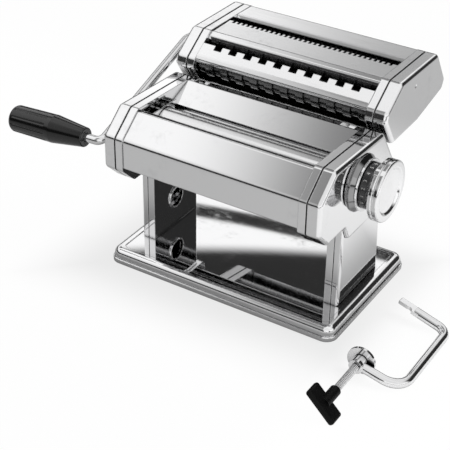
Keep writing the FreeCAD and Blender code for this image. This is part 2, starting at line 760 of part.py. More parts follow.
spring.translate(vec(spring_in + spring_wire / 2, knob_y, knob_z))
parts["knob_spring"] = spring

# Cutter side plates: bush holes, then covers with crank openings on the left
pairs = {"wide": (wide_front, wide_back, wide_count), "fine": (fine_front, fine_back, fine_count)}
centres = [wide_front, wide_back, fine_front, fine_back]
big_bush = big_journal + run_fit + bush_wall
small_bush = small_journal + run_fit + bush_wall
right_plate = cutter_frame
left_plate = cutter_frame
for y, z in centres:
    right_plate = right_plate.cut(rod(bay - over, plate_out + over, y, z, small_bush))
    left_plate = left_plate.cut(rod(bay - over, plate_out + over, y, z, big_bush))
for y, z in cutter_ties:
    right_plate = right_plate.cut(rod(bay - over, plate_out + over, y, z, tie_radius))
    left_plate = left_plate.cut(rod(bay - over, plate_out + over, y, z, tie_radius))
parts["cutter_right_plate"] = right_plate
parts["cutter_left_plate"] = mirrored(left_plate)
parts["cutter_right_cover"] = cutter_cover
opened = cutter_cover
for y, z in (wide_back, fine_front):
    opened = opened.cut(rod(cover_in, cover_out + over, y, z, big_journal + step_gap))
parts["cutter_left_cover"] = mirrored(opened)
cutter_bushes = []
for y, z in centres:
    cutter_bushes.append(tube(bay, plate_out, y, z, small_bush, small_journal + run_fit))
    cutter_bushes.append(tube(-plate_out, -bay, y, z, big_bush, big_journal + run_fit))
parts["cutter_bushes"] = Part.makeCompound(cutter_bushes)
ties = [rod(-plate_out, plate_out, y, z, tie_radius) for y, z in cutter_ties]
parts["cutter_tie_rods"] = Part.makeCompound(ties)


# Grooved cutter rollers: discs of one roller run in the grooves of the other
def cutter_profile(count, discs_first):
    pitch = cutter_length / count
    start = -cutter_length / 2
    profile = [(start, 0)]
    for i in range(count):
        left = start + i * pitch
        disc = (left, left + pitch / 2) if discs_first else (left + pitch / 2, left + pitch)
        disc = (disc[0] + side_play / 2, disc[1] - side_play / 2)
        if i == 0:
            profile.append((start, cutter_radius if discs_first else groove_radius))
            if discs_first:
                disc = (start, disc[1])
        if disc[0] > start:
            profile += [(disc[0], groove_radius), (disc[0], cutter_radius)]
        if i == count - 1 and not discs_first:
            profile += [(start + cutter_length, cutter_radius)]
        else:
            profile += [(disc[1], cutter_radius), (disc[1], groove_radius)]
    if discs_first:
        profile.append((start + cutter_length, groove_radius))
    profile.append((start + cutter_length, 0))
    return profile


# The two gear pairs stand side by side past the collar of the left cover, since their tips overlap end on
gear_from = -(cover_in + collar_wall + step_gap)
for name, (front, back, count) in pairs.items():
    gear_to = gear_from - cutter_gear_width
    lean_angle = math.degrees(math.atan2(back[1] - front[1], back[0] - front[0]))
    pair_pitch = math.hypot(back[0] - front[0], back[1] - front[1]) / 2
    driver, mate = (back, front) if name == "wide" else (front, back)
    for role, centre in (("driver", driver), ("mate", mate)):
        y, z = centre
        body = turned(cutter_profile(count, role == "driver"), y, z)
        left_end = journal_left if role == "driver" else gear_to - step_gap
        body = fused([body, rod(left_end, -cutter_length / 2, y, z, big_journal),
                      rod(cutter_length / 2, plate_out + stub_lip, y, z, small_journal)])
        if role == "driver":
            body = body.cut(rod(left_end - over, left_end + socket_depth, y, z, crank_bore))
        parts["%s_%s_roller" % (name, role)] = body
        phase = 0.5 if centre == back else 0
        wheel = gear(cutter_gear_teeth, pair_pitch - cutter_dedendum, pair_pitch + cutter_addendum,
                     cutter_tooth_root, cutter_tooth_tip, gear_to, gear_from, phase)
        wheel.rotate(HERE, X_AXIS, lean_angle)
        wheel.translate(vec(0, y, z))
        wheel = wheel.cut(rod(gear_to - over, gear_from + over, y, z, big_journal))
        parts["%s_%s_gear" % (name, role)] = wheel
    gear_from = gear_to - step_gap


# Comb strips: teeth reach into the grooves from below
def comb(centre, count, discs_first):
    y, z = centre
    pitch = cutter_length / count
    front_y = y - comb_sheet / 2
    back_y = y + comb_sheet / 2
    strip_top = z - cutter_radius - comb_gap
    strip = box(-bay, bay, front_y, back_y, z - comb_reach, strip_top)
    teeth = []
    for i in range(count):
        left = -cutter_length / 2 + i * pitch + (pitch / 2 if discs_first else 0)
        tooth_width = pitch / 2 - comb_gap
        tooth_left = left + comb_gap / 2
        teeth.append(box(tooth_left, tooth_left + tooth_width, front_y, back_y,
                         strip_top - over, z - groove_radius - comb_gap))
    return strip.multiFuse(teeth).removeSplitter()


combs = [comb(wide_back, wide_count, True), comb(wide_front, wide_count, False),
         comb(fine_front, fine_count, True), comb(fine_back, fine_count, False)]
parts["cutter_combs"] = Part.makeCompound(combs)

# Cutter top sheets with their toothed edges
cutter_back_path = moved([cutter_back_foot], *wide_front) + moved(cutter_back_top, wide_front[0], cutter_top)
cutter_mid_path = moved(cutter_mid_top, wide_front[0], cutter_top)
cutter_front_path = moved(cutter_front_sheet, *wide_front)
parts["cutter_back_plate"] = bent_sheet(cutter_back_path[::-1], cutter_back_bends[::-1], -sheet, bay)
mid = bent_sheet(cutter_mid_path[::-1], cutter_mid_bends[::-1], sheet, bay)
fine_pitch = cutter_length / fine_count
cuts = []
mid_back, mid_top = cutter_mid_path[0]
notches = fine_count - 1
for i in range(notches):
    left = (i - notches / 2) * fine_pitch + fine_pitch / 4
    cuts.append(box(left, left + fine_pitch / 2, mid_back - notch_depth, mid_back + over,
                    mid_top - notch_half_height, mid_top + notch_half_height))
parts["cutter_mid_plate"] = mid.cut(cuts)

front = bent_sheet(cutter_front_path[::-1], cutter_front_bends[::-1], sheet, bay)
edge_at = cutter_front_path[0]
fold_at = cutter_front_path[1]
edge_lean = math.degrees(math.atan2(edge_at[1] - fold_at[1], edge_at[0] - fold_at[0]))


def edge_cut(x0, x1, depth):
    block = box(x0, x1, -depth, over, -notch_half_height, notch_half_height)
    block.rotate(HERE, X_AXIS, edge_lean)
    block.translate(vec(0, edge_at[0], edge_at[1]))
    return block


wide_pitch = cutter_length / wide_count
cuts = []
notches = wide_count - 1
for i in range(notches):
    left = (i - notches / 2) * wide_pitch + wide_pitch / 4
    cuts.append(edge_cut(left, left + wide_pitch / 2, front_notch_depth))
parts["cutter_front_plate"] = front.cut(cuts)

# Rails on the back plate and tongues on the cutter mount bar
rails = []
tongues = []
lanes = []
for side in (-1, 1):
    middle = side * rail_x
    floor = -back_recess
    outline = [(middle - rail_half - rail_wall, floor), (middle + rail_half + rail_wall, floor),
               (middle + rail_half + rail_wall, rail_top), (middle - rail_half - rail_wall, rail_top)]
    rail = slope_prism(outline, rail_run)
    roof = rail_top - rail_wall
    cut_run = (rail_run[0] - over, rail_run[1] + over)
    slot = slope_prism([(middle - rail_half, floor + rail_floor), (middle + rail_half, floor + rail_floor),
                        (middle + rail_half, roof), (middle - rail_half, roof)], cut_run)
    mouth_half = rail_half - rail_lip
    mouth = slope_prism([(middle - mouth_half, roof - over), (middle + mouth_half, roof - over),
                         (middle + mouth_half, rail_top + over),
                         (middle - mouth_half, rail_top + over)], cut_run)
    rails.append(rail.cut(slot).cut(mouth))
    head = slope_prism([(middle - rail_half + tongue_gap, floor + rail_floor + tongue_gap),
                        (middle + rail_half - tongue_gap, floor + rail_floor + tongue_gap),
                        (middle + rail_half - tongue_gap, roof - tongue_gap),
                        (middle - rail_half + tongue_gap, roof - tongue_gap)], tongue_run)
    neck_half = mouth_half - tongue_gap
    neck = slope_prism([(middle - neck_half, roof - over), (middle + neck_half, roof - over),
                        (middle + neck_half, mount_gap + mount_sheet / 2),
                        (middle - neck_half, mount_gap + mount_sheet / 2)], tongue_run)
    tongues += [head, neck]
    lane = [(middle - rail_half, floor + rail_floor), (middle + rail_half, floor + rail_floor),
            (middle + rail_half, over), (middle - rail_half, over)]
    lanes.append(slope_prism(lane, (rail_run[1], -rail_run[0])))
bar = slope_prism([(-bay, mount_gap), (bay, mount_gap), (bay, mount_gap + mount_sheet),
                   (-bay, mount_gap + mount_sheet)], mount_run)
parts["body_rails"] = Part.makeCompound(rails)
parts["cutter_mount_bar"] = fused([bar] + tongues)
parts["hopper_plate"] = parts["hopper_plate"].cut(lanes)

# Crank: shaft in the cutter socket, arm, and the rod inside the grip
crank_in = journal_left + socket_depth - socket_gap
grip_end = grip_start - grip_length
washer_in = grip_end + grip_round + washer_depth + grip_wall
crank_elbow = vec(crank_plane, crank_end_y, crank_end_z)


def on_grip(shape):
    """Tip a piece made along X about the crank elbow, so that the grip droops at its far end."""
    shape.rotate(crank_elbow, Y_AXIS, -grip_tilt)
    return shape


rod_end = on_grip(Part.Vertex(washer_in, crank_end_y, crank_end_z)).Point
crank_points = [vec(crank_in, wide_back[0], wide_back[1]), vec(crank_plane, wide_back[0], wide_back[1]),
                crank_elbow, rod_end]
crank = bent_rod(crank_points, [crank_bend, elbow_bend], crank_radius)
upset_end = washer_in - washer_depth
upset_start = washer_in + washer_depth
upset = on_grip(rod(upset_end, upset_start, crank_end_y, crank_end_z, washer_radius))
parts["crank_rod"] = crank.fuse(upset).removeSplitter()

# Grip: tapered barrel with lengthwise flutes, running on the rod
waist = grip_start - grip_length * grip_taper
barrel = turned([(grip_start, 0), (grip_start, grip_neck), (waist, grip_radius),
                 (grip_end, grip_radius - grip_draft), (grip_end, 0)], crank_end_y, crank_end_z)
barrel = barrel.makeFillet(grip_round, edges_at_x(barrel, grip_end))
barrel = barrel.makeFillet(grip_neck_round, edges_at_x(barrel, grip_start))
flute_circle = grip_radius + flute_radius - flute_depth
for i in range(grip_flutes):
    angle = 2 * math.pi * i / grip_flutes
    at_y = crank_end_y + flute_circle * math.cos(angle)
    at_z = crank_end_z + flute_circle * math.sin(angle)
    barrel = barrel.cut(rod(grip_end + grip_round, waist - grip_round, at_y, at_z, flute_radius))
barrel = barrel.cut(rod(washer_in, grip_start + over, crank_end_y, crank_end_z, crank_radius + run_fit))
pocket = rod(upset_end - step_gap, upset_start + step_gap, crank_end_y, crank_end_z, washer_radius + step_gap)
parts["crank_grip"] = on_grip(barrel.cut(pocket))

# Table clamp: the frame leans on its spine so that its eye meets the screw line
drop = screw_z - clamp_rod
span = spine_x - clamp_x
lean = math.atan2(drop, span)
arm = math.hypot(span, drop)


def on_clamp(along, y):
    """Point of the clamp plane, measured along the arms from the screw line."""
    return vec(clamp_x + along * math.cos(lean), y, screw_z - along * math.sin(lean))


blade_start = tip_reach + blade_length
slant = (top_arm_y - tip_y) / (arm - tip_reach)
blade_y = tip_y + slant * blade_length
clamp_points = [on_clamp(0, eye_y), on_clamp(arm, eye_y), on_clamp(arm, top_arm_y),
                on_clamp(blade_start, blade_y)]
frame_rod = bent_rod(clamp_points, [clamp_bend_low, clamp_bend_top], clamp_rod)


def on_screw(radius, length, y):
    """Cylinder on the screw line, from y backwards."""
    return Part.makeCylinder(radius, length, vec(clamp_x, y, screw_z), Y_AXIS)


eye = on_screw(eye_radius, eye_depth, eye_y - eye_depth / 2)
eye_bore = on_screw(screw_radius + run_fit, eye_depth * 2, eye_y - eye_depth)
blade = box(tip_reach, blade_start + clamp_rod, -clamp_rod, clamp_rod, -blade_height / 2, blade_height / 2)
notch_x = tip_reach + hook_notch_at
blade = blade.cut(box(tip_reach - over, notch_x, -clamp_rod - over, hook_step - clamp_rod, -blade_height, blade_height))
blade = blade.cut(Part.makeCylinder(hook_notch, 2 * blade_height, vec(notch_x, -clamp_rod, -blade_height)))
blade = blade.makeFillet(blade_height / 3, edges_at_x(blade, tip_reach))
blade.rotate(HERE, FreeCAD.Vector(0, 0, 1), math.degrees(math.atan(slant)))
blade.rotate(HERE, Y_AXIS, math.degrees(lean))
blade.translate(on_clamp(0, tip_y + slant * -tip_reach))
parts["clamp_frame"] = fused([frame_rod, eye, blade]).cut(eye_bore)
pad_y = eye_y + eye_depth / 2 + pad_gap
pad = on_screw(pad_radius, pad_sheet, pad_y)
pin = on_screw(screw_radius / 2, pad_sheet, pad_y)
parts["clamp_pad"] = pad.cut(on_screw(screw_radius / 2 + run_fit, pad_sheet, pad_y))
screw_end = pad_y - screw_length
screw = on_screw(screw_radius, screw_length, screw_end)
parts["clamp_screw"] = screw.fuse(pin).removeSplitter()
hub_start = screw_end - hub_length / 2
hub = on_screw(hub_radius, hub_length, hub_start)
wing = box(-wing_length / 2, wing_length / 2, 0, wing_width, -wing_sheet / 2, wing_sheet / 2)
wing = wing.makeFillet(wing_round, wing.Edges)
wing.rotate(HERE, Y_AXIS, wing_tilt)
wing.translate(vec(clamp_x, hub_start - wing_width / 2, screw_z))
wing_knob = hub.fuse(wing).removeSplitter()
bore = on_screw(screw_radius, hub_length, screw_end)
parts["wing_knob"] = wing_knob.cut(bore)

for name, shape in parts.items():
    shape.exportStep("parts/%s.step" % name)
print(len(parts), "pieces")
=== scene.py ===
# %% [markdown]
# # A hand-cranked pasta machine
# The machine is sheet steel with a mirror polish, so most of its look is what it reflects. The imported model
# gives every solid in its place, in metres. This lesson sets the camera and the studio, makes the finishes,
# and adds the small things that are easier to make as meshes: the dial numbers, the thread and the spring.

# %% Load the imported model
import math
import bpy
from mathutils import Matrix, Vector


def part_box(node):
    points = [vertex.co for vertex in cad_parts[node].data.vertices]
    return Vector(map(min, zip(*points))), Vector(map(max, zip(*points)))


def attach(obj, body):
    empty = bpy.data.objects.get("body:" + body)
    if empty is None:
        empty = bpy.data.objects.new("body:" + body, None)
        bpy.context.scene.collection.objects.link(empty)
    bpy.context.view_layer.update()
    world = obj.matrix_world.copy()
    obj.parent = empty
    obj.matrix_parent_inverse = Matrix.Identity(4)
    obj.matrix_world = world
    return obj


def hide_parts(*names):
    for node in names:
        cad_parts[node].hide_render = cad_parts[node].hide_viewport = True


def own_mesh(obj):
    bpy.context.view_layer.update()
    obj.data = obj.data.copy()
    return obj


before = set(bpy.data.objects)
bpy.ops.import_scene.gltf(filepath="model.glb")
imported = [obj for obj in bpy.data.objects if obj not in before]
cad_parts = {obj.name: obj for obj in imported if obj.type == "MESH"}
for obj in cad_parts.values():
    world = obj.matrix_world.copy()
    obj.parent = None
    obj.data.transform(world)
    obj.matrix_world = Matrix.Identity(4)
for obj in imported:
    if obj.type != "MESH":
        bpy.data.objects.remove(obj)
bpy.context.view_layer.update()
scene = bpy.context.scene
scene.view_settings.view_transform = "Standard"

# %% [markdown]
# The camera stands in front, to the right and above, about a metre away, behind a long lens. Its three axes
# were fitted to the picture, so they are written as a matrix: right, up, and backwards.

# %% Camera
camera_place = Vector((0.430612, -0.742666, 0.593119))
camera_right = Vector((0.84511, 0.53446, 0.01189))
camera_up = Vector((-0.29958, 0.45506, 0.83855))
camera_back = camera_right.cross(camera_up)
camera_data = bpy.data.cameras.new("studio_camera")
camera_data.sensor_width = 36.0
camera_data.lens = 103.43
camera = bpy.data.objects.new("studio_camera", camera_data)
scene.collection.objects.link(camera)
camera_axes = Matrix((camera_right, camera_up, camera_back)).transposed().to_4x4()
camera.matrix_world = Matrix.Translation(camera_place) @ camera_axes
scene.camera = camera
print("camera lens", camera_data.lens)


# %% [markdown]
# Nodes are wired in the same few ways again and again: a new node with its values set, a number that is
# worked out from another, a soft step between two levels. These helpers keep the rest of the lesson
# readable.

# %% Helpers for node trees
def add_node(tree, kind, **settings):
    """A new node, with its properties set by name."""
    node = tree.nodes.new(kind)
    for key, value in settings.items():
        setattr(node, key, value)
    return node


def plug(tree, source, socket):
    """Link an output to a socket, or set the socket if the source is a plain value."""
    if isinstance(source, bpy.types.NodeSocket):
        tree.links.new(source, socket)
    else:
        socket.default_value = source


def calculate(tree, operation, first, second=0.0):
    """One Math node."""
    node = add_node(tree, "ShaderNodeMath", operation=operation)
    plug(tree, first, node.inputs[0])
    plug(tree, second, node.inputs[1])
    return node.outputs[0]


def blend_number(tree, share, first, second):
    """The first number where the share is 0, the second where it is 1."""
    node = add_node(tree, "ShaderNodeMix")
    plug(tree, share, node.inputs[0])
    plug(tree, first, node.inputs[2])
    plug(tree, second, node.inputs[3])
    return node.outputs[0]


def ramp(tree, value, start, end, low=0.0, high=1.0):
    """A soft step: low up to start, high from end."""
    node = add_node(tree, "ShaderNodeMapRange", interpolation_type="SMOOTHSTEP")
    for source, socket in zip((value, start, end, low, high), node.inputs):
        plug(tree, source, socket)
    return node.outputs[0]


print("helpers ready")

# %% [markdown]
# Polished steel has almost no colour of its own, so the studio is drawn for its reflections. In a real
# studio they would be panels and cards round the machine. Here each one is a soft step along a direction:
# to the right, to the back or to the top. Lamps and white planes could do the same, but they would need
# moving for each change.
#
# The ceiling and the left wall slide from white to grey, which the sheets show. A strip light hangs
# overhead. The wall behind is bright for the base, with a dark card on its left and a thin dark batten
# across it, because a mirror that shows only white looks like paper. The rest of the room is nearly black.
# The camera itself sees white.

# %% World
world = bpy.data.worlds.new("studio")
scene.world = world
world.use_nodes = True
sky = world.node_tree
sky.nodes.clear()
direction = add_node(sky, "ShaderNodeSeparateXYZ")
sky.links.new(add_node(sky, "ShaderNodeTexCoord").outputs["Generated"], direction.inputs[0])
to_right, to_back, to_top = direction.outputs
behind = ramp(sky, to_back, 0.15, 0.45)
print("directions", [socket.name for socket in direction.outputs])

# %% Left wall, right wall and strip light
right_light = ramp(sky, to_right, -0.24, -0.06, 0.0, 0.90)
strip_light = calculate(sky, "MULTIPLY", ramp(sky, to_back, -0.27, -0.20), ramp(sky, to_back, 0.16, 0.08))
ceiling_light = calculate(sky, "MAXIMUM", ramp(sky, to_right, -0.37, -0.50, 0.25, 1.12), right_light)
ceiling_light = calculate(sky, "MAXIMUM", ceiling_light, strip_light)
wall_light = calculate(sky, "MAXIMUM", ramp(sky, to_right, -0.34, -0.52, 0.40, 0.95), right_light)
wall_light = calculate(sky, "MULTIPLY", wall_light, ramp(sky, to_top, 0.405, 0.38, 1.0, 1.3))
back_panel = calculate(sky, "MULTIPLY", behind, ramp(sky, to_top, 0.48, 0.52))
back_panel_level = 1.1
wall_light = blend_number(sky, back_panel, wall_light, back_panel_level)
panel_light = blend_number(sky, ramp(sky, to_top, 0.56, 0.78), wall_light, ceiling_light)
print("walls and ceiling", len(sky.nodes))

# %% Card and batten on the wall behind
batten_slope = 0.169
batten_low = 0.6105
batten_high = 0.6165
batten_soft = 0.002
batten_line = calculate(sky, "SUBTRACT", to_top, calculate(sky, "MULTIPLY", to_right, batten_slope))
batten = calculate(sky, "MAXIMUM", ramp(sky, batten_line, batten_low, batten_low - batten_soft),
                   ramp(sky, batten_line, batten_high, batten_high + batten_soft))
card = calculate(sky, "MULTIPLY", ramp(sky, to_top, 0.556, 0.564), ramp(sky, to_right, -0.342, -0.356))
back_low = calculate(sky, "MULTIPLY", ramp(sky, to_top, 0.26, 0.34), calculate(sky, "SUBTRACT", 1.0, card))
back_low = calculate(sky, "MULTIPLY", back_low, batten)
back_low = calculate(sky, "MULTIPLY", back_low, ramp(sky, to_right, 0.25, 0.05))
back_share = calculate(sky, "MAXIMUM", back_low, ramp(sky, to_top, 0.64, 0.78))
front_right = calculate(sky, "MULTIPLY", ramp(sky, to_right, 0.02, 0.15), ramp(sky, to_top, 0.02, 0.10))
front_share = calculate(sky, "MAXIMUM", ramp(sky, to_top, 0.28, 0.46), front_right)
print("card and batten", len(sky.nodes))

# %% Room for mirrors, white for the camera
dark_level = 0.03
camera_level = 1.0
lit_share = blend_number(sky, behind, front_share, back_share)
room = blend_number(sky, lit_share, dark_level, panel_light)
world_path = add_node(sky, "ShaderNodeLightPath")
background = add_node(sky, "ShaderNodeBackground")
seen = blend_number(sky, world_path.outputs["Is Camera Ray"], room, camera_level)
plug(sky, seen, background.inputs["Strength"])
background.inputs["Color"].default_value = (1.0, 1.0, 1.0, 1.0)
sky.links.new(background.outputs[0], add_node(sky, "ShaderNodeOutputWorld").inputs["Surface"])
print("world nodes", len(sky.nodes))

# %% [markdown]
# The floor is a white sheet. A plain white material would go grey in the soft shadow, so for the camera
# most of it glows at strength one, which is white. The rest is matte and keeps the shadow, and the glow is
# weaker close to the base, where the shadow is. In reflections only a little of it glows.
#
# The matte part carries painted shade: its colour is darker in front of the machine, lighter to its right,
# and darker again far behind, and a painted contact shadow darkens it right beside the base. The low steel
# mirrors this painted shade, which gives the legs and the base lip their greys.

# %% Floor
floor_half = 4.0
floor_mesh = bpy.data.meshes.new("floor")
floor_mesh.from_pydata([(-floor_half, -floor_half, 0), (floor_half, -floor_half, 0),
                        (floor_half, floor_half, 0), (-floor_half, floor_half, 0)], [], [(0, 1, 2, 3)])
floor = bpy.data.objects.new("floor", floor_mesh)
scene.collection.objects.link(floor)
floor_paint = bpy.data.materials.new("white_sheet")
floor_paint.use_nodes = True
floor_mesh.materials.append(floor_paint)
print("floor", 2 * floor_half, "m")

# %% Floor tones: painted shade and a painted contact shadow
tree = floor_paint.node_tree
tree.nodes.clear()
base_half_width = 0.1015
base_half_depth = 0.063
spot = add_node(tree, "ShaderNodeSeparateXYZ")
tree.links.new(add_node(tree, "ShaderNodeNewGeometry").outputs["Position"], spot.inputs[0])
floor_x, floor_y = spot.outputs[0], spot.outputs[1]
light_tone = 0.66
# Painted shade: the floor colour is darker in front of the machine and lighter to its right.
floor_shade_tone = ramp(tree, floor_y, -0.06, 0.03, 0.33, light_tone)
floor_shade_tone = calculate(tree, "MAXIMUM", floor_shade_tone, ramp(tree, floor_x, 0.08, 0.13, 0.0, light_tone))
# Painted shade: darker again far behind the machine.
floor_shade_tone = calculate(tree, "MULTIPLY", floor_shade_tone, ramp(tree, floor_y, 0.14, 0.30, 1.0, 0.42))
beside = calculate(tree, "SUBTRACT", calculate(tree, "ABSOLUTE", floor_x), base_half_width)
before = calculate(tree, "SUBTRACT", calculate(tree, "ABSOLUTE", floor_y), base_half_depth)
from_base = calculate(tree, "MAXIMUM", beside, before)
# Painted contact shadow: the colour darkens within a few centimetres of the base.
floor_shade_tone = calculate(tree, "MULTIPLY", floor_shade_tone, ramp(tree, from_base, 0.0, 0.045, 0.4, 1.0))
painted_floor_shade = add_node(tree, "ShaderNodeCombineColor")
for socket in list(painted_floor_shade.inputs)[:3]:
    plug(tree, floor_shade_tone, socket)
matte = add_node(tree, "ShaderNodeBsdfDiffuse")
tree.links.new(painted_floor_shade.outputs[0], matte.inputs["Color"])
print("floor tones", len(tree.nodes))

# %% Floor glow
mirror_glow = 0.15
path = add_node(tree, "ShaderNodeLightPath")
in_mirror = calculate(tree, "MAXIMUM", path.outputs["Is Glossy Ray"], path.outputs["Is Transmission Ray"])
camera_glow = ramp(tree, from_base, 0.0, 0.07, 0.80, 0.985)
share = calculate(tree, "MAXIMUM", calculate(tree, "MULTIPLY", in_mirror, mirror_glow),
                  calculate(tree, "MULTIPLY", path.outputs["Is Camera Ray"], camera_glow))
glow = add_node(tree, "ShaderNodeEmission")
sheet_mix = add_node(tree, "ShaderNodeMixShader")
plug(tree, share, sheet_mix.inputs[0])
tree.links.new(matte.outputs[0], sheet_mix.inputs[1])
tree.links.new(glow.outputs[0], sheet_mix.inputs[2])
tree.links.new(sheet_mix.outputs[0], add_node(tree, "ShaderNodeOutputMaterial").inputs["Surface"])
print("floor nodes", len(tree.nodes))


# %% [markdown]
# Two large soft lamps stand in for the studio's boxes. They light the black and matte pieces and make the
# soft shadow. They are hidden from reflections, because the world already draws what the steel shows.

# %% Lamps
def soft_box(name, place, size, power):
    """A square area lamp that looks at the machine."""
    data = bpy.data.lights.new(name, "AREA")
    data.size = size
    data.energy = power
    lamp = bpy.data.objects.new(name, data)
    scene.collection.objects.link(lamp)
    lamp.location = place
    lamp.rotation_euler = (lamp_target - Vector(place)).to_track_quat("-Z", "Y").to_euler()
    lamp.visible_glossy = False
    return lamp


lamp_target = Vector((0.0, 0.0, 0.08))
lamps = [soft_box("left_box", (-0.9, -0.5, 1.3), 1.2, 7.0), soft_box("right_box", (1.0, 0.5, 1.2), 0.9, 24.0)]
print("lamps", len(lamps))


# %% [markdown]
# Five effects come back in several finishes, so each is a node group with its own sliders. Handling marks
# are the cloudy smears that fingers leave. Hairlines are the fine scratches of rolling, grinding or
# turning, which run one way. Worn and shaded edges finds the corners: a Bevel node rounds the normal there,
# and where it differs from the flat one, an edge is near. Its mask is rubbed wear on the plastics and
# painted shade on the steels. Recess shade finds the grooves and slots that little light reaches, with an
# Ambient Occlusion node, and the steels paint shade into their colour there. Dust lies on faces that look up.

# %% Node groups
def new_group(name, inputs, outputs):
    """An empty shader group with number inputs and typed outputs."""
    group = bpy.data.node_groups.new(name, "ShaderNodeTree")
    for label, value in inputs.items():
        socket = group.interface.new_socket(label, in_out="INPUT", socket_type="NodeSocketFloat")
        socket.default_value = value
    for label, kind in outputs.items():
        group.interface.new_socket(label, in_out="OUTPUT", socket_type=kind)
    return group, add_node(group, "NodeGroupInput").outputs, add_node(group, "NodeGroupOutput").inputs


def noise(tree, vector, scale, detail=3.0, roughness=0.55, distortion=0.0):
    """A noise texture's value."""
    node = add_node(tree, "ShaderNodeTexNoise")
    plug(tree, vector, node.inputs["Vector"])
    plug(tree, scale, node.inputs["Scale"])
    node.inputs["Detail"].default_value = detail
    node.inputs["Roughness"].default_value = roughness
    node.inputs["Distortion"].default_value = distortion
    return node.outputs[0]


def own_place(tree):
    """The point on the piece, which moves with it."""
    return add_node(tree, "ShaderNodeTexCoord").outputs["Object"]


marks, given, put = new_group("handling_marks", {"Size": 30.0}, {"Mask": "NodeSocketFloat"})
here = own_place(marks)
clouds = ramp(marks, noise(marks, here, given["Size"], 4.0, 0.6, 0.9), 0.50, 0.74)
streaks = ramp(marks, noise(marks, here, calculate(marks, "MULTIPLY", given["Size"], 7.0), 3.0), 0.35, 0.75)
plug(marks, calculate(marks, "MULTIPLY", clouds, streaks), put["Mask"])

lines, given, put = new_group("hairlines", {"Along X": 20.0, "Across X": 1500.0},
                              {"Height": "NodeSocketFloat"})
stretch = add_node(lines, "ShaderNodeCombineXYZ")
for source, socket in zip((given["Along X"], given["Across X"], given["Across X"]), stretch.inputs):
    plug(lines, source, socket)
drawn = add_node(lines, "ShaderNodeVectorMath", operation="MULTIPLY")
plug(lines, own_place(lines), drawn.inputs[0])
plug(lines, stretch.outputs[0], drawn.inputs[1])
plug(lines, noise(lines, drawn.outputs[0], 1.0, 2.0), put["Height"])

# Edge mask: rubbed wear on the plastics, painted shade on the steels.
edges, given, put = new_group("worn_and_shaded_edges", {"Radius": 0.0004}, {"Mask": "NodeSocketFloat",
                                                                 "Normal": "NodeSocketVector"})
rounded = add_node(edges, "ShaderNodeBevel", samples=4)
plug(edges, given["Radius"], rounded.inputs["Radius"])
likeness = add_node(edges, "ShaderNodeVectorMath", operation="DOT_PRODUCT")
plug(edges, rounded.outputs[0], likeness.inputs[0])
plug(edges, add_node(edges, "ShaderNodeNewGeometry").outputs["Normal"], likeness.inputs[1])
plug(edges, ramp(edges, likeness.outputs["Value"], 0.96, 0.80), put["Mask"])
plug(edges, rounded.outputs[0], put["Normal"])

# Painted shade mask: the grooves and slots that little light reaches.
recess, given, put = new_group("recess_shade", {"Reach": 0.006}, {"Mask": "NodeSocketFloat"})
open_sky = add_node(recess, "ShaderNodeAmbientOcclusion", samples=6)
plug(recess, given["Reach"], open_sky.inputs["Distance"])
plug(recess, ramp(recess, open_sky.outputs["AO"], 0.72, 0.30), put["Mask"])

dust, given, put = new_group("dust", {"Size": 300.0}, {"Mask": "NodeSocketFloat"})
facing = add_node(dust, "ShaderNodeSeparateXYZ")
plug(dust, add_node(dust, "ShaderNodeNewGeometry").outputs["Normal"], facing.inputs[0])
upward = ramp(dust, facing.outputs[2], 0.1, 0.9)
specks = ramp(dust, noise(dust, own_place(dust), given["Size"], 5.0, 0.7), 0.52, 0.78)
plug(dust, calculate(dust, "MULTIPLY", upward, specks), put["Mask"])
print("groups", [group.name for group in bpy.data.node_groups])


# %% [markdown]
# A finish is a Principled shader fed by those groups. The same function makes every steel: the mirror of
# the body, the satin of the cutter, the ground rollers and the cut gears differ in how rough they are and
# which way their lines run. Each keeps its own numbers, so a change in one leaves the others alone.

# %% Steel finishes
def place_group(tree, group, **values):
    """A group node with some sliders set."""
    node = add_node(tree, "ShaderNodeGroup", node_tree=group)
    for label, value in values.items():
        node.inputs[label.replace("_", " ")].default_value = value
    return node.outputs


def blend_colour(tree, mask, first, second):
    """One colour where the mask is dark, the other where it is light."""
    node = add_node(tree, "ShaderNodeMix", data_type="RGBA")
    plug(tree, mask, node.inputs[0])
    for colour, socket in ((first, node.inputs[6]), (second, node.inputs[7])):
        plug(tree, colour if isinstance(colour, bpy.types.NodeSocket) else (*colour, 1.0), socket)
    return node.outputs[2]


def add_bump(tree, height, strength, distance, normal=None):
    """A Bump node, on top of another normal if there is one."""
    node = add_node(tree, "ShaderNodeBump")
    node.inputs["Strength"].default_value = strength
    node.inputs["Distance"].default_value = distance
    plug(tree, height, node.inputs["Height"])
    if normal is not None:
        plug(tree, normal, node.inputs["Normal"])
    return node.outputs[0]


def new_finish(name):
    """A material with its tree and its Principled shader."""
    material = bpy.data.materials.new(name)
    material.use_nodes = True
    return material, material.node_tree, material.node_tree.nodes["Principled BSDF"].inputs


